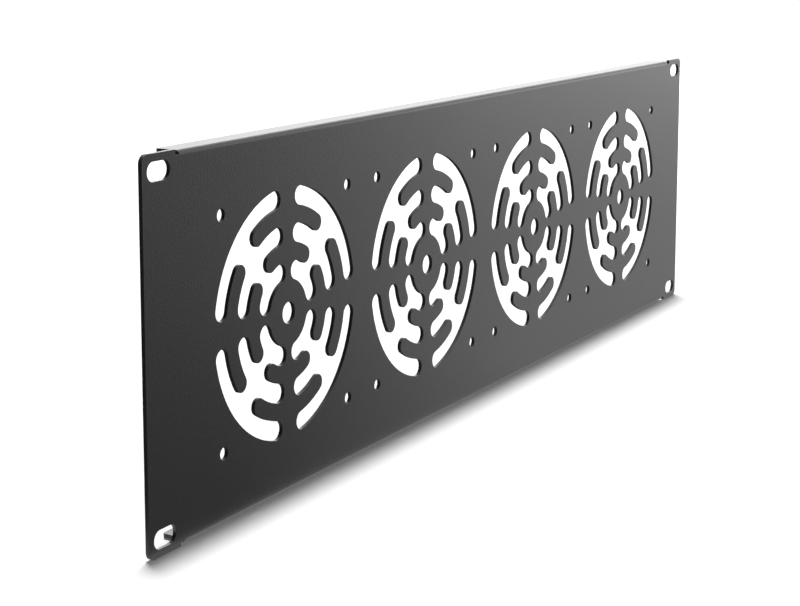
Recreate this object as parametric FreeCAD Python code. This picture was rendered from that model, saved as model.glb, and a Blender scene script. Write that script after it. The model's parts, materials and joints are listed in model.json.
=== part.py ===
import FreeCAD, Part
import math
import os

# 19-inch rack fan panel, 3U high, cut and folded from one steel sheet.
# X runs along the width, the front faces -Y and +Z is up.
# The origin is the centre of the rack mounting plane, on the back of the ears.

# Driving dimensions, in millimetres and degrees
sheet = 1.5
panel_width = 482.6
panel_height = 132.5
ear_width = 17.6
ear_corner_radius = 3.0

relief_width = 2.3
relief_depth = 1.85
relief_corner_radius = 0.8
edge_step = 0.5
flange_depth = 10.0
flange_corner_radius = 1.5
inner_bend_radius = 0.3

rack_slot_inset_x = 8.75
rack_slot_inset_z = 5.925
rack_slot_length = 12.0
rack_slot_height = 6.5

fan_count = 4
fan_pitch = 105.0
fan_screw_spacing = 82.5
fan_screw_hole = 4.5
centre_hole = 8.0

# Each guard has ring slots between a hub and a rim, parted by bars. A slot ends
# round beside the level and upright spokes, and a bar ends round at the diagonals.
# Both angles run from the spoke to the ray that just touches the round end.
guard_radius = 46.0
hub_radius = 12.3
bar_width = 6.35
ring_count = 3
slot_end_angle = 6.5
bar_end_angle = 37.8

# Values that follow from the ones above
front = -sheet
ear_end = panel_width / 2
ear_top = panel_height / 2
relief_end = ear_end - ear_width
relief_floor = ear_top - relief_depth
fold_end = relief_end - relief_width
flange_top = ear_top - edge_step
flange_rear = front + flange_depth
outer_bend_radius = inner_bend_radius + sheet
bend_line = flange_top - outer_bend_radius
slot_width = (guard_radius - hub_radius - (ring_count - 1) * bar_width) / ring_count
ring_pitch = slot_width + bar_width
fan_centres = [(i - (fan_count - 1) / 2) * fan_pitch for i in range(fan_count)]

vector = FreeCAD.Vector
origin = vector(0, 0, 0)
along_x = vector(1, 0, 0)
along_y = vector(0, 1, 0)
along_z = vector(0, 0, 1)
diagonal = vector(1, 0, -1)
sides = (-1, 1)


# A point on the front face
def at(x, z):
    return vector(x, front, z)


def line(start, end):
    return Part.LineSegment(start, end).toShape()


def arc(start, middle, end):
    return Part.Arc(start, middle, end).toShape()


def circle(x, z, diameter):
    return Part.Wire(Part.makeCircle(diameter / 2, at(x, z), along_y))


# A slot with full-round ends that lies along X
def round_slot(x, z, length, height):
    half = height / 2
    reach = length / 2 - half
    right_end = arc(at(x + reach, z + half), at(x + reach + half, z), at(x + reach, z - half))
    left_end = arc(at(x - reach, z - half), at(x - reach - half, z), at(x - reach, z + half))
    bottom = line(at(x + reach, z - half), at(x - reach, z - half))
    top = line(at(x - reach, z + half), at(x + reach, z + half))
    return Part.Wire([right_end, bottom, left_end, top])


def polar(radius, angle):
    turn = math.radians(angle)
    return at(radius * math.cos(turn), radius * math.sin(turn))


def ring_arc(radius, first, last):
    return arc(polar(radius, first), polar(radius, (first + last) / 2), polar(radius, last))


# Half a circle across a ray, from one radius to the other. It bulges to a larger
# angle where turn is 1, and to a smaller one where turn is -1.
def round_end(outer, inner, angle, turn):
    facing = math.radians(angle) + turn * math.pi / 2
    reach = (outer - inner) / 2
    middle = polar((outer + inner) / 2, angle)
    bulge = vector(reach * math.cos(facing), 0, reach * math.sin(facing))
    return arc(polar(outer, angle), middle + bulge, polar(inner, angle))


# The angle that half a round end takes up, seen from the fan's centre
def half_span(width, outer):
    return math.degrees(math.asin(width / (2 * outer - width)))


# Rays through the centres of the round ends, counted from the spoke
def slot_end_ray(slot_outer):
    return slot_end_angle + half_span(slot_width, slot_outer)


def bar_end_ray(bar_outer):
    return bar_end_angle - half_span(bar_width, bar_outer)


# The ends of the ring slots and bars on one side of a quarter, beside its upright spoke
def comb_side():
    edges = []
    for ring in range(ring_count):
        outer = guard_radius - ring * ring_pitch
        inner = outer - slot_width
        slot_ray = 90 - slot_end_ray(outer)
        edges.append(round_end(outer, inner, slot_ray, 1))
        if ring + 1 < ring_count:
            next_outer = outer - ring_pitch
            bar_ray = 90 - bar_end_ray(inner)
            edges.append(ring_arc(inner, slot_ray, bar_ray))
            edges.append(round_end(inner, next_outer, bar_ray, -1))
            edges.append(ring_arc(next_outer, bar_ray, 90 - slot_end_ray(next_outer)))
    return edges


# A quarter of a guard is one opening: its ring slots, joined along the diagonal
def guard_quarter():
    side = comb_side()
    other_side = [edge.mirror(origin, diagonal) for edge in side]
    rim_ray = slot_end_ray(guard_radius)
    hub_ray = slot_end_ray(hub_radius + slot_width)
    rim = ring_arc(guard_radius, rim_ray, 90 - rim_ray)
    hub = ring_arc(hub_radius, hub_ray, 90 - hub_ray)
    return Part.Wire(Part.__sortEdges__(side + other_side + [rim, hub]))


def fan_openings(x):
    wires = [circle(x, 0, centre_hole)]
    for quarter in range(4):
        wire = guard_quarter()
        wire.rotate(origin, along_y, 90 * quarter)
        wire.translate(vector(x, 0, 0))
        wires.append(wire)
    half = fan_screw_spacing / 2
    wires += [circle(x + i * half, j * half, fan_screw_hole) for i in sides for j in sides]
    return wires


def rack_slots():
    x = ear_end - rack_slot_inset_x
    z = ear_top - rack_slot_inset_z
    return [round_slot(i * x, j * z, rack_slot_length, rack_slot_height) for i in sides for j in sides]


# The round on a corner at x, z. Its arc leads away to side_x, and i and j choose the
# quarter of the panel.
def corner_arc(x, z, radius, side_x, i, j):
    bow = radius * (1 - math.sqrt(0.5))
    beside = at(i * x, j * (z - radius))
    middle = at(i * (x + side_x * bow), j * (z - bow))
    above = at(i * (x + side_x * radius), j * z)
    return arc(beside, middle, above)


# A quarter of the flat front's outline: bend line, relief, then the ear and its corners
def outline_quarter(i, j):
    relief = [(0, bend_line), (fold_end, bend_line), (fold_end, relief_floor),
              (relief_end, relief_floor), (relief_end, ear_top - relief_corner_radius)]
    places = [at(i * x, j * z) for x, z in relief]
    edges = [line(start, end) for start, end in zip(places, places[1:])]
    edges.append(corner_arc(relief_end, ear_top, relief_corner_radius, 1, i, j))
    edges.append(line(at(i * (relief_end + relief_corner_radius), j * ear_top),
                      at(i * (ear_end - ear_corner_radius), j * ear_top)))
    edges.append(corner_arc(ear_end, ear_top, ear_corner_radius, -1, i, j))
    edges.append(line(at(i * ear_end, j * (ear_top - ear_corner_radius)), at(i * ear_end, 0)))
    return edges


def front_sheet():
    outline = [edge for i in sides for j in sides for edge in outline_quarter(i, j)]
    wires = [Part.Wire(Part.__sortEdges__(outline))]
    for x in fan_centres:
        wires += fan_openings(x)
    wires += rack_slots()
    return Part.Face(wires, "Part::FaceMakerBullseye").extrude(along_y * sheet)


# The upper flange: a quarter-round bend, then a flat lip with rounded rear corners
def flange():
    def bend(radius, angle):
        turn = math.radians(angle)
        y = inner_bend_radius - radius * math.cos(turn)
        return vector(-fold_end, y, bend_line + radius * math.sin(turn))

    def bend_arc(radius):
        return arc(bend(radius, 0), bend(radius, 45), bend(radius, 90))

    rear_top = vector(-fold_end, flange_rear, flange_top)
    rear_bottom = rear_top - along_z * sheet
    profile = [
        bend_arc(outer_bend_radius),
        line(bend(outer_bend_radius, 90), rear_top),
        line(rear_top, rear_bottom),
        line(rear_bottom, bend(inner_bend_radius, 90)),
        bend_arc(inner_bend_radius),
        line(bend(inner_bend_radius, 0), bend(outer_bend_radius, 0)),
    ]
    wire = Part.Wire(Part.__sortEdges__(profile))
    strip = Part.Face(wire).extrude(along_x * 2 * fold_end)
    rear_edges = [e for e in strip.Edges if e.BoundBox.YMin > flange_rear - sheet / 2]
    corner_edges = [e for e in rear_edges if e.BoundBox.XLength < sheet / 2]
    return strip.makeFillet(flange_corner_radius, corner_edges)


def fan_panel():
    top_flange = flange()
    bottom_flange = top_flange.mirror(origin, along_z)
    return front_sheet().fuse([top_flange, bottom_flange]).removeSplitter()


os.makedirs("parts", exist_ok=True)
panel = fan_panel().Solids[0]
panel.exportStep("parts/fan_panel.step")
print("fan_panel: valid", panel.isValid(), "volume in cubic mm", round(panel.Volume, 1))
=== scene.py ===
import bpy
import json
import math
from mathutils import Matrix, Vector


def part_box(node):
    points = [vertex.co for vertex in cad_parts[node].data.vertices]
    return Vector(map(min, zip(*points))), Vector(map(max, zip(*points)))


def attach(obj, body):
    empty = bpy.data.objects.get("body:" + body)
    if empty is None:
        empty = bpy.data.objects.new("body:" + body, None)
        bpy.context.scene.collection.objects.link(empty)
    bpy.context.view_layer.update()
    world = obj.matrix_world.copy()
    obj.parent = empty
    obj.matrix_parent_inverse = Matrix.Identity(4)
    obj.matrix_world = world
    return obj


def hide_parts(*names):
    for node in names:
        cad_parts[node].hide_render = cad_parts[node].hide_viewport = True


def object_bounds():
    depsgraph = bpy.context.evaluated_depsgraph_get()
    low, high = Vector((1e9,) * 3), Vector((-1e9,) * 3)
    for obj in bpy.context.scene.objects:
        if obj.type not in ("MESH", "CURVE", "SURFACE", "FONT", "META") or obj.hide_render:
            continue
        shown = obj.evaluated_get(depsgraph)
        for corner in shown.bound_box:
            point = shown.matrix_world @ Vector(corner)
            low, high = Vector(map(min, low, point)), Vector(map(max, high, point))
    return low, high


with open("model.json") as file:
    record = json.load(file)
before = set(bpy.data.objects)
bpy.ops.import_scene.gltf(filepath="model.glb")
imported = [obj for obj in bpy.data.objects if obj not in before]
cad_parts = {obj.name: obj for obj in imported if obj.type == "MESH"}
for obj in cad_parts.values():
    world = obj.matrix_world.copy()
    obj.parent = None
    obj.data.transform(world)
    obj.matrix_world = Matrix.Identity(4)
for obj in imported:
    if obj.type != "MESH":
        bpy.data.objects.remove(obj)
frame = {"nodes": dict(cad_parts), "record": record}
cadLow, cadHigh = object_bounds()
panelLow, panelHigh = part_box("fan_panel")
mounts = {mount["name"]: mount for mount in frame["record"]["mounts"]}
fans = [mount for name, mount in sorted(mounts.items()) if name.startswith("fan_")]
rackSlots, fanScrews = mounts["rack_slots"]["dims"], fans[0]["dims"]
print("frame loaded:", len(frame["nodes"]), "part,", len(fans), "fan places")

mm = 0.001
degree = math.pi / 180
white = (1.0, 1.0, 1.0, 1.0)


# small helpers for node trees

def plug(tree, value, socket):
    # a Size or a socket is linked, anything else is typed in
    value = getattr(value, "socket", value)
    if isinstance(value, bpy.types.NodeSocket):
        tree.links.new(value, socket)
    else:
        socket.default_value = value


def addNode(tree, kind, inputs=None, **settings):
    node = tree.nodes.new(kind)
    for name, value in settings.items():
        setattr(node, name, value)
    for name, value in (inputs or {}).items():
        plug(tree, value, node.inputs[name])
    return node


class Size:
    # a number inside a node tree, so that plain sums work sizes out
    def __init__(self, tree, socket):
        self.tree, self.socket = tree, socket

    def work(self, operation, first, second=0.0):
        node = addNode(self.tree, "ShaderNodeMath", {0: first, 1: second}, operation=operation)
        return Size(self.tree, node.outputs[0])

    def __add__(self, other):
        return self.work("ADD", self, other)

    def __radd__(self, other):
        return self.work("ADD", other, self)

    def __sub__(self, other):
        return self.work("SUBTRACT", self, other)

    def __rsub__(self, other):
        return self.work("SUBTRACT", other, self)

    def __mul__(self, other):
        return self.work("MULTIPLY", self, other)

    def __rmul__(self, other):
        return self.work("MULTIPLY", other, self)

    def __truediv__(self, other):
        return self.work("DIVIDE", self, other)

    def __neg__(self):
        return self.work("MULTIPLY", self, -1.0)

    def sine(self):
        return self.work("SINE", self)

    def cosine(self):
        return self.work("COSINE", self)

    def arcsine(self):
        return self.work("ARCSINE", self)

    def absolute(self):
        return self.work("ABSOLUTE", self)

    def sign(self):
        return self.work("SIGN", self)

    def atLeast(self, other):
        return self.work("MAXIMUM", self, other)

    def atMost(self, other):
        return self.work("MINIMUM", self, other)

    def below(self, other):
        return self.work("LESS_THAN", self, other)

    def above(self, other):
        return self.work("GREATER_THAN", self, other)


def vector(tree, x=0.0, y=0.0, z=0.0):
    return addNode(tree, "ShaderNodeCombineXYZ", {0: x, 1: y, 2: z}).outputs[0]


def coordinates(tree, kind, output):
    place = addNode(tree, kind).outputs[output]
    split = addNode(tree, "ShaderNodeSeparateXYZ", {0: place})
    return [Size(tree, socket) for socket in split.outputs]


def joined(tree, *pieces):
    join = addNode(tree, "GeometryNodeJoinGeometry")
    for piece in reversed(pieces):
        tree.links.new(piece, join.inputs[0])
    return join.outputs[0]


def moved(tree, piece, x=0.0, y=0.0):
    place = {"Geometry": piece, "Translation": vector(tree, x, y)}
    return addNode(tree, "GeometryNodeTransform", place).outputs[0]


def marked(tree, piece, name, value, domain):
    mark = {"Geometry": piece, "Name": name, "Value": value}
    settings = {"data_type": "FLOAT", "domain": domain}
    return addNode(tree, "GeometryNodeStoreNamedAttribute", mark, **settings).outputs[0]


# the fan panel: a flat blank is cut, given its thickness and folded

fanPanel = {
    "sizes": {
        "panelWidth": panelHigh.x - panelLow.x,
        "panelHeight": panelHigh.z - panelLow.z,
        "sheet": -panelLow.y,
        "flangeDepth": panelHigh.y - panelLow.y,
        "earWidth": 17.6 * mm,
        "earCorner": 3.0 * mm,
        "reliefWidth": 2.3 * mm,
        "reliefDepth": 1.85 * mm,
        "reliefCorner": 0.8 * mm,
        "edgeStep": 0.5 * mm,
        "flangeCorner": 1.5 * mm,
        "innerBend": 0.3 * mm,
        "rackSlotSpacingX": rackSlots["spacing_x_mm"] * mm,
        "rackSlotSpacingZ": rackSlots["spacing_y_mm"] * mm,
        "rackSlotLength": rackSlots["slot_length_mm"] * mm,
        "rackSlotHeight": 2 * rackSlots["hole_r_mm"] * mm,
        "fanPitch": fans[1]["pos_m"][0] - fans[0]["pos_m"][0],
        "fanScrewSpacing": fanScrews["spacing_x_mm"] * mm,
        "fanScrewHole": 2 * fanScrews["hole_r_mm"] * mm,
        "centreHole": 8.0 * mm,
        "guardRadius": 46.0 * mm,
        "hubRadius": 12.3 * mm,
        "barWidth": 6.35 * mm,
        "slotEndAngle": 6.5 * degree,
        "barEndAngle": 37.8 * degree,
    },
    "ringCount": 3,
    "roundSegments": 16,      # on each half-round end
    "circleSegments": 32,
    "arcSegments": 10,        # on each ring arc
    "rimSegments": 28,
    "cornerSegments": 8,
    "bendSegments": 8,
    "mergeDistance": 0.004 * mm,
    "softRim": 0.12 * mm,     # how far the coat rounds each cut edge
    "softRimSegments": 2,
    "sharpAngles": (40.0, 120.0),    # degrees between faces, for the edges that are rounded
    "flatWeight": 100,        # how far large faces decide the shading beside them
}


def arcPiece(tree, radius, start, sweep, segments, x=0.0, y=0.0):
    arc = addNode(tree, "GeometryNodeCurveArc", {
        "Resolution": segments + 1, "Radius": radius, "Start Angle": start, "Sweep Angle": sweep,
    }, mode="RADIUS")
    return moved(tree, arc.outputs[0], x, y)


def cornerArc(tree, radius, start, sweep, x, y):
    return arcPiece(tree, radius, start, sweep, fanPanel["cornerSegments"], x, y)


def linePiece(tree, start, end):
    ends = {"Start": vector(tree, *start), "End": vector(tree, *end)}
    return addNode(tree, "GeometryNodeCurvePrimitiveLine", ends).outputs[0]


def circlePiece(tree, radius):
    circle = {"Resolution": fanPanel["circleSegments"], "Radius": radius}
    return addNode(tree, "GeometryNodeCurvePrimitiveCircle", circle).outputs[0]


# half a circle across a ray from the fan's centre, which bulges to a larger angle where turn is 1
# and to a smaller one where it is -1
def roundEnd(tree, outer, inner, ray, turn):
    middle = (outer + inner) / 2
    centreX, centreY = middle * ray.cosine(), middle * ray.sine()
    start = ray if turn > 0 else ray - math.pi
    return arcPiece(tree, (outer - inner) / 2, start, math.pi, fanPanel["roundSegments"], centreX, centreY)


def ringPiece(tree, radius, first, last, segments):
    return arcPiece(tree, radius, first, last - first, segments)


# one quarter of a guard is a single opening: ring slots joined along the diagonal
def guardQuarter(tree, sizes):
    rings = fanPanel["ringCount"]
    slotWidth = (sizes["guardRadius"] - sizes["hubRadius"] - (rings - 1) * sizes["barWidth"]) / rings
    ringPitch = slotWidth + sizes["barWidth"]
    upright = math.pi / 2

    def slotRay(outer):
        return sizes["slotEndAngle"] + (slotWidth / (2 * outer - slotWidth)).arcsine()

    side = []
    outer = sizes["guardRadius"]
    for ring in range(rings):
        inner, ray = outer - slotWidth, upright - slotRay(outer)
        side.append(roundEnd(tree, outer, inner, ray, 1))
        if ring + 1 < rings:
            nextOuter = outer - ringPitch
            halfBar = (sizes["barWidth"] / (2 * inner - sizes["barWidth"])).arcsine()
            barRay = upright - sizes["barEndAngle"] + halfBar
            nextRay = upright - slotRay(nextOuter)
            side.append(ringPiece(tree, inner, barRay, ray, fanPanel["arcSegments"]))
            side.append(roundEnd(tree, inner, nextOuter, barRay, -1))
            side.append(ringPiece(tree, nextOuter, barRay, nextRay, fanPanel["arcSegments"]))
            outer = nextOuter
    side = joined(tree, *side)
    mirror = {"Geometry": side, "Scale": (-1, 1, 1), "Rotation": (0, 0, -upright)}
    otherSide = addNode(tree, "GeometryNodeTransform", mirror).outputs[0]
    rimRay, hubRay = slotRay(sizes["guardRadius"]), slotRay(sizes["hubRadius"] + slotWidth)
    rim = ringPiece(tree, sizes["guardRadius"], rimRay, upright - rimRay, fanPanel["rimSegments"])
    hub = ringPiece(tree, sizes["hubRadius"], hubRay, upright - hubRay, fanPanel["arcSegments"])
    return joined(tree, side, otherSide, rim, hub)


# copies of a piece on a row of points, each turned by its number in the row
def copies(tree, piece, count, step=0.0, turn=None):
    line = {"Count": count, "Offset": vector(tree, step)}
    row = addNode(tree, "GeometryNodeMeshLine", line, mode="OFFSET").outputs[0]
    points = moved(tree, row, step * (1 - count) / 2)
    onPoints = {"Points": points, "Instance": piece}
    if turn:
        index = Size(tree, addNode(tree, "GeometryNodeInputIndex").outputs[0])
        euler = vector(tree, 0.0, 0.0, index * turn)
        onPoints["Rotation"] = addNode(tree, "FunctionNodeEulerToRotation", {0: euler}).outputs[0]
    placed = addNode(tree, "GeometryNodeInstanceOnPoints", onPoints).outputs[0]
    return addNode(tree, "GeometryNodeRealizeInstances", {0: placed}).outputs[0]


# the same piece in all four quarters round the middle
def mirroredFour(tree, piece):
    quarters = [addNode(tree, "GeometryNodeTransform", {"Geometry": piece, "Scale": (i, j, 1)}).outputs[0]
                for i in (-1, 1) for j in (-1, 1)]
    return joined(tree, *quarters)


def fanCuts(tree, sizes):
    guard = copies(tree, guardQuarter(tree, sizes), 4, turn=math.pi / 2)
    half = sizes["fanScrewSpacing"] / 2
    screw = moved(tree, circlePiece(tree, sizes["fanScrewHole"] / 2), half, half)
    centre = circlePiece(tree, sizes["centreHole"] / 2)
    cuts = joined(tree, guard, mirroredFour(tree, screw), centre)
    return copies(tree, cuts, len(fans), step=sizes["fanPitch"])


def rackSlotCuts(tree, sizes):
    half = sizes["rackSlotHeight"] / 2
    reach = sizes["rackSlotLength"] / 2 - half
    segments = fanPanel["roundSegments"]
    slot = joined(
        tree,
        arcPiece(tree, half, -math.pi / 2, math.pi, segments, reach),
        arcPiece(tree, half, math.pi / 2, math.pi, segments, -reach),
        linePiece(tree, (-reach, half), (reach, half)),
        linePiece(tree, (-reach, -half), (reach, -half)),
    )
    slot = moved(tree, slot, sizes["rackSlotSpacingX"] / 2, sizes["rackSlotSpacingZ"] / 2)
    return mirroredFour(tree, slot)


def merged(tree, piece):
    return addNode(tree, "GeometryNodeMergeByDistance", {
        "Geometry": piece, "Distance": fanPanel["mergeDistance"]}).outputs[0]


# closes loose lines into loops and fills between them
def filled(tree, *lines):
    wires = addNode(tree, "GeometryNodeCurveToMesh", {"Curve": joined(tree, *lines)}).outputs[0]
    loops = addNode(tree, "GeometryNodeMeshToCurve", {"Mesh": merged(tree, wires)}).outputs[0]
    return addNode(tree, "GeometryNodeFillCurve", {"Curve": loops}, mode="NGONS").outputs[0]


def chain(tree, points):
    return joined(tree, *[linePiece(tree, start, end) for start, end in zip(points, points[1:])])


def buildPanelTree(material):
    tree = bpy.data.node_groups.new("fanPanelRule", "GeometryNodeTree")
    tree.interface.new_socket(name="Geometry", in_out="OUTPUT", socket_type="NodeSocketGeometry")
    for name, value in fanPanel["sizes"].items():
        socket = tree.interface.new_socket(name=name, in_out="INPUT", socket_type="NodeSocketFloat")
        socket.default_value = value
    inputs = addNode(tree, "NodeGroupInput")
    sizes = {name: Size(tree, inputs.outputs[name]) for name in fanPanel["sizes"]}

    # where the outline turns and where the fold starts
    earEnd, earTop = sizes["panelWidth"] / 2, sizes["panelHeight"] / 2
    reliefEnd = earEnd - sizes["earWidth"]
    foldEnd = reliefEnd - sizes["reliefWidth"]
    reliefFloor = earTop - sizes["reliefDepth"]
    flangeTop = earTop - sizes["edgeStep"]
    outerBend = sizes["innerBend"] + sizes["sheet"]
    bendLine = flangeTop - outerBend
    bendLength = outerBend * (math.pi / 2)
    lipStart = bendLine + bendLength
    lipEnd = lipStart + sizes["flangeDepth"] - outerBend

    # the flat front: the ears' four quarters, the lines between them, then everything cut out of it
    corner, reliefCorner = sizes["earCorner"], sizes["reliefCorner"]
    earQuarter = joined(
        tree,
        chain(tree, [(foldEnd, bendLine), (foldEnd, reliefFloor), (reliefEnd, reliefFloor),
                     (reliefEnd, earTop - reliefCorner)]),
        cornerArc(tree, reliefCorner, math.pi, -math.pi / 2,
                  reliefEnd + reliefCorner, earTop - reliefCorner),
        chain(tree, [(reliefEnd + reliefCorner, earTop), (earEnd - corner, earTop)]),
        cornerArc(tree, corner, 0.0, math.pi / 2, earEnd - corner, earTop - corner),
    )
    bendLines = [linePiece(tree, (-foldEnd, bendLine * side), (foldEnd, bendLine * side))
                 for side in (-1, 1)]
    earEdges = [linePiece(tree, (earEnd * side, corner - earTop), (earEnd * side, earTop - corner))
                for side in (-1, 1)]
    front = filled(tree, mirroredFour(tree, earQuarter), *bendLines, *earEdges,
                   fanCuts(tree, sizes), rackSlotCuts(tree, sizes))

    # the strips that become the bends, and the lips beyond them
    flangeCorner = sizes["flangeCorner"]
    lipSide = joined(
        tree,
        chain(tree, [(foldEnd, lipStart), (foldEnd, lipEnd - flangeCorner)]),
        cornerArc(tree, flangeCorner, 0.0, math.pi / 2, foldEnd - flangeCorner, lipEnd - flangeCorner),
    )
    lipLines = [linePiece(tree, (-reach, level * side), (reach, level * side)) for side in (-1, 1)
                for reach, level in ((foldEnd, lipStart), (foldEnd - flangeCorner, lipEnd))]
    lips = filled(tree, mirroredFour(tree, lipSide), *lipLines)
    strip = addNode(tree, "GeometryNodeMeshGrid", {
        "Size X": foldEnd * 2, "Size Y": bendLength,
        "Vertices X": 2, "Vertices Y": fanPanel["bendSegments"] + 1,
    }).outputs[0]
    middle = bendLine + bendLength / 2
    folding = joined(tree, lips, moved(tree, strip, 0.0, middle), moved(tree, strip, 0.0, -middle))
    folding = marked(tree, folding, "folds", 1.0, "POINT")
    blank = merged(tree, joined(tree, front, folding))

    # give it the sheet's thickness
    raised = addNode(tree, "GeometryNodeExtrudeMesh", {
        "Mesh": blank, "Offset": vector(tree, 0.0, 0.0, sizes["sheet"]),
        "Offset Scale": 1.0, "Individual": False,
    }, mode="FACES").outputs[0]
    back = addNode(tree, "GeometryNodeFlipFaces", {"Mesh": blank}).outputs[0]
    slab = merged(tree, joined(tree, raised, back))

    # fold the flanges round the bend, and stand the panel up with its front to -Y
    x, level, height = coordinates(tree, "GeometryNodeInputPosition", 0)
    folds = addNode(tree, "GeometryNodeInputNamedAttribute", {"Name": "folds"}, data_type="FLOAT")
    past = (level.absolute() - bendLine).atLeast(0.0) * Size(tree, folds.outputs[0])
    angle = (past / outerBend).atMost(math.pi / 2)
    run = (past - bendLength).atLeast(0.0)
    radius = sizes["innerBend"] + height
    depth = sizes["innerBend"] - radius * angle.cosine() + run
    rise = (level.absolute() - past + radius * angle.sine()) * level.sign()
    fold = {"Geometry": slab, "Position": vector(tree, x, depth, rise)}
    folded = addNode(tree, "GeometryNodeSetPosition", fold).outputs[0]

    # cut edges get the soft rim, but not where a bend parts from the sheet and two edges nearly meet
    edgeAngle = Size(tree, addNode(tree, "GeometryNodeInputMeshEdgeAngle").outputs["Unsigned Angle"])
    across, inward, up = coordinates(tree, "GeometryNodeInputPosition", 0)
    parting = (across.absolute() - foldEnd).absolute().below(fanPanel["mergeDistance"])
    parting = parting * up.absolute().below(reliefFloor) * inward.below(sizes["innerBend"])
    least, most = [bound * degree for bound in fanPanel["sharpAngles"]]
    rims = edgeAngle.above(least) * edgeAngle.below(most) * (1.0 - parting)
    folded = marked(tree, folded, "bevel_weight_edge", rims, "EDGE")
    real = addNode(tree, "GeometryNodeRealizeInstances", {0: folded}).outputs[0]
    coated = addNode(tree, "GeometryNodeSetMaterial", {"Geometry": real, "Material": material}).outputs[0]
    plug(tree, coated, addNode(tree, "NodeGroupOutput").inputs[0])
    return tree


def makePanel(material):
    tree = buildPanelTree(material)
    seed = bpy.data.objects.new("panelSeed", bpy.data.meshes.new("panelSeed"))
    bpy.context.scene.collection.objects.link(seed)
    modifier = seed.modifiers.new("fanPanelRule", "NODES")
    modifier.node_group = tree
    for item in tree.interface.items_tree:
        if item.in_out == "INPUT":
            modifier[item.identifier] = fanPanel["sizes"][item.name]
    evaluated = seed.evaluated_get(bpy.context.evaluated_depsgraph_get())
    mesh = bpy.data.meshes.new_from_object(evaluated)
    mesh.name = "coatedPanel"
    bpy.data.objects.remove(seed)
    panel = bpy.data.objects.new("coatedPanel", mesh)
    bpy.context.scene.collection.objects.link(panel)
    mesh.shade_smooth()
    rim = panel.modifiers.new("softRim", "BEVEL")
    rim.width, rim.segments = fanPanel["softRim"], fanPanel["softRimSegments"]
    rim.limit_method = "WEIGHT"
    rim.use_clamp_overlap = False
    rim.miter_outer = "MITER_ARC"
    flat = panel.modifiers.new("flatSheet", "WEIGHTED_NORMAL")
    flat.mode, flat.weight = "FACE_AREA", fanPanel["flatWeight"]
    print("panel mesh:", len(mesh.vertices), "points,", len(mesh.polygons), "faces")
    return panel


# finishes

coatValues = {
    "colour": (0.010, 0.010, 0.0102, 1.0),
    "palerColour": (0.016, 0.016, 0.0163, 1.0),
    "roughness": 0.42,
    "shine": 0.55,
    "grainScale": 1300.0,
    "grainDepth": 0.08 * mm,
    "grainDetail": 2.0,
    "grainRoughness": 0.55,
}


def makePowderCoat():
    material = bpy.data.materials.new("blackPowderCoat")
    material.use_nodes = True
    tree = material.node_tree
    shader = tree.nodes["Principled BSDF"]
    place = addNode(tree, "ShaderNodeTexCoord").outputs["Object"]
    grain = addNode(tree, "ShaderNodeTexNoise", {
        "Vector": place, "Scale": coatValues["grainScale"],
        "Detail": coatValues["grainDetail"], "Roughness": coatValues["grainRoughness"]})
    tone = addNode(tree, "ShaderNodeMixRGB", {
        "Fac": grain.outputs["Fac"], "Color1": coatValues["colour"], "Color2": coatValues["palerColour"]})
    plug(tree, tone.outputs[0], shader.inputs["Base Color"])
    shader.inputs["Roughness"].default_value = coatValues["roughness"]
    shader.inputs["Specular IOR Level"].default_value = coatValues["shine"]
    bump = addNode(tree, "ShaderNodeBump", {
        "Height": grain.outputs["Fac"], "Distance": coatValues["grainDepth"], "Strength": 1.0})
    plug(tree, bump.outputs[0], shader.inputs["Normal"])
    return material


# studio: a sun, three lamps and a faint world light the panel, while the camera and the shine
# see white all round

def seenRays(tree):
    paths = addNode(tree, "ShaderNodeLightPath")
    names = ("Is Camera Ray", "Is Glossy Ray", "Is Transmission Ray")
    return [Size(tree, paths.outputs[name]) for name in names]


floorValues = {"size": 60.0, "colour": 0.86, "roughness": 0.9, "cameraGlow": 0.05, "seenInShine": 1.0}


def addSurface(name, corners, faces):
    mesh = bpy.data.meshes.new(name)
    mesh.from_pydata(corners, [], faces)
    surface = bpy.data.objects.new(name, mesh)
    bpy.context.scene.collection.objects.link(surface)
    return surface


def makeFloor():
    half = floorValues["size"] / 2
    corners = [(-half, -half), (half, -half), (half, half), (-half, half)]
    floor = addSurface("floor", [(x, y, cadLow.z) for x, y in corners], [(0, 1, 2, 3)])
    material = bpy.data.materials.new("paleFloor")
    material.use_nodes = True
    tree = material.node_tree
    shader = tree.nodes["Principled BSDF"]
    camera, glossy, through = seenRays(tree)
    mirrored = glossy.atLeast(through)
    grey = (1.0 - mirrored) * floorValues["colour"]
    plug(tree, vector(tree, grey, grey, grey), shader.inputs["Base Color"])
    shader.inputs["Roughness"].default_value = floorValues["roughness"]
    shader.inputs["Specular IOR Level"].default_value = 0.0
    shader.inputs["Emission Color"].default_value = white
    glow = camera * floorValues["cameraGlow"] + mirrored * floorValues["seenInShine"]
    plug(tree, glow, shader.inputs["Emission Strength"])
    floor.data.materials.append(material)


worldValues = {"light": 0.12, "seen": 1.0}


def makeWorld():
    world = bpy.data.worlds.new("studio")
    bpy.context.scene.world = world
    world.use_nodes = True
    tree = world.node_tree
    background = tree.nodes["Background"]
    background.inputs["Color"].default_value = white
    camera, glossy, through = seenRays(tree)
    seen = camera.atLeast(glossy).atLeast(through)
    strength = worldValues["light"] + seen * (worldValues["seen"] - worldValues["light"])
    plug(tree, strength, background.inputs["Strength"])


# an overhead sun wide enough for a soft shadow, with soft lamps at the front, right and back
sunValues = {"place": (0.0, 0.0, 2.0), "strength": 3.25, "angle": 7.0, "fromBehind": 3.4, "fromRight": 5.0}

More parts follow.
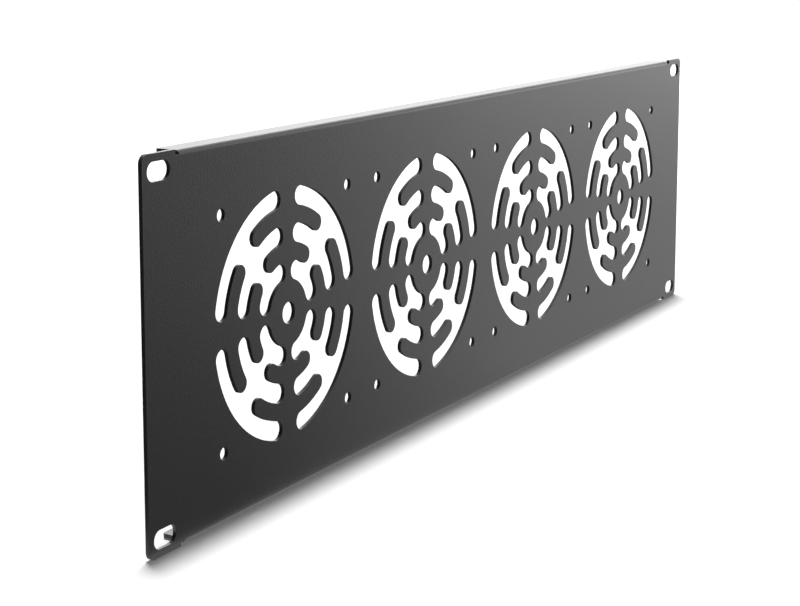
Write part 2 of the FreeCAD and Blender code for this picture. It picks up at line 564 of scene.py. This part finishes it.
lamps = {
    "front": {"place": (0.35, -1.8, 0.12), "aim": (0.0, 0.0, 0.0), "size": (0.8, 0.8), "power": 5.0},
    "right": {"place": (1.9, -0.75, 0.25), "aim": (0.15, 0.0, 0.0), "size": (1.1, 0.9), "power": 7.7},
    "back": {"place": (1.45, 0.95, 0.35), "aim": (0.0, 0.0, 0.0), "size": (2.0, 1.0), "power": 21.0},
}


def addLight(name, light, place, turn):
    holder = bpy.data.objects.new(name, light)
    bpy.context.scene.collection.objects.link(holder)
    holder.location = place
    holder.rotation_euler = turn
    holder.visible_camera = False


def makeLamps():
    sun = bpy.data.lights.new("overhead", "SUN")
    sun.energy, sun.angle = sunValues["strength"], sunValues["angle"] * degree
    turn = (-sunValues["fromBehind"] * degree, sunValues["fromRight"] * degree, 0.0)
    addLight("overhead", sun, sunValues["place"], turn)
    for name, lamp in lamps.items():
        light = bpy.data.lights.new(name, "AREA")
        light.shape = "RECTANGLE"
        light.size, light.size_y = lamp["size"]
        light.energy = lamp["power"]
        toAim = Vector(lamp["aim"]) - Vector(lamp["place"])
        addLight(name, light, lamp["place"], toAim.to_track_quat("-Z", "Y").to_euler())


# Shaded cards that only the coat's shine sees. Each stands up between its ends and has a foot that
# lies on the floor. The front one fades from dark to the floor's white where the sheet's left end
# mirrors it, in a shorter run the further it is from the sheet. The left one darkens the slot walls
# that face left.
cards = {
    "frontCard": {
        "ends": [(0.26, -0.20), (-0.10, -0.42)], "top": 0.15,
        "foot": [(-0.27, -0.004), (0.07, -0.004), (0.26, -0.20), (-0.10, -0.42), (-0.27, -0.30)],
        "dark": 0.19, "pale": 1.0, "fadeFrom": -0.20, "fadeTo": 0.05, "slant": 1.35,
        "fromDrift": -0.2, "toDrift": 0.6},
    "leftCard": {
        "ends": [(-0.45, -0.30), (-0.10, 0.60)], "top": 0.60,
        "foot": [(-0.45, -0.30), (-0.28, -0.30), (-0.28, 0.012),
                 (0.25, 0.012), (0.10, 0.16), (-0.27, 0.16)],
        "dark": 0.02, "pale": 0.02, "fadeFrom": 0.0, "fadeTo": 1.0, "slant": 0.0,
        "fromDrift": 0.0, "toDrift": 0.0},
}


def shadedCard(name, card):
    material = bpy.data.materials.new(name)
    material.use_nodes = True
    tree = material.node_tree
    shader = tree.nodes["Principled BSDF"]
    shader.inputs["Base Color"].default_value = (0.0, 0.0, 0.0, 1.0)
    shader.inputs["Specular IOR Level"].default_value = 0.0
    x, y = coordinates(tree, "ShaderNodeTexCoord", "Object")[:2]
    fadeFrom = y * card["fromDrift"] + card["fadeFrom"]
    fadeTo = y * card["toDrift"] + card["fadeTo"]
    run = (fadeTo - fadeFrom).atLeast(mm)
    along = (x + y * card["slant"] - fadeFrom) / run
    shade = along.atLeast(0.0).atMost(1.0) * (card["pale"] - card["dark"]) + card["dark"]
    shader.inputs["Emission Color"].default_value = white
    plug(tree, shade, shader.inputs["Emission Strength"])
    return material


def makeCards():
    foot = cadLow.z + mm      # just over the floor
    for name, card in cards.items():
        start, end = card["ends"]
        corners = [(*start, foot), (*end, foot), (*end, card["top"]), (*start, card["top"])]
        corners += [(x, y, foot) for x, y in card["foot"]]
        surface = addSurface(name, corners, [(0, 1, 2, 3), tuple(range(4, len(corners)))])
        surface.data.materials.append(shadedCard(name, card))
        surface.visible_camera = surface.visible_diffuse = False
        surface.visible_shadow = surface.visible_transmission = False


cameraValues = {
    "place": (-0.67167, -0.33395, 0.13580),
    "turn": (81.737, -0.084, -60.831),
    "lens": 78.295,
    "sensor": 36.0,
    "shiftY": -0.150,
    "clipStart": 0.01,
}


def makeCamera():
    camera = bpy.data.cameras.new("camera")
    camera.lens, camera.sensor_width = cameraValues["lens"], cameraValues["sensor"]
    camera.shift_y = cameraValues["shiftY"]
    camera.clip_start = cameraValues["clipStart"]
    holder = bpy.data.objects.new("camera", camera)
    bpy.context.scene.collection.objects.link(holder)
    holder.location = cameraValues["place"]
    holder.rotation_euler = [angle * degree for angle in cameraValues["turn"]]
    bpy.context.scene.camera = holder


makeCamera()
makeFloor()
makeWorld()
makeLamps()
makeCards()
bpy.context.scene.view_settings.view_transform = "Standard"
print("studio ready")

panel = makePanel(makePowderCoat())
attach(panel, "root")
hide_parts("fan_panel")

print("cad box", [round(v, 5) for v in (*cadLow, *cadHigh)])
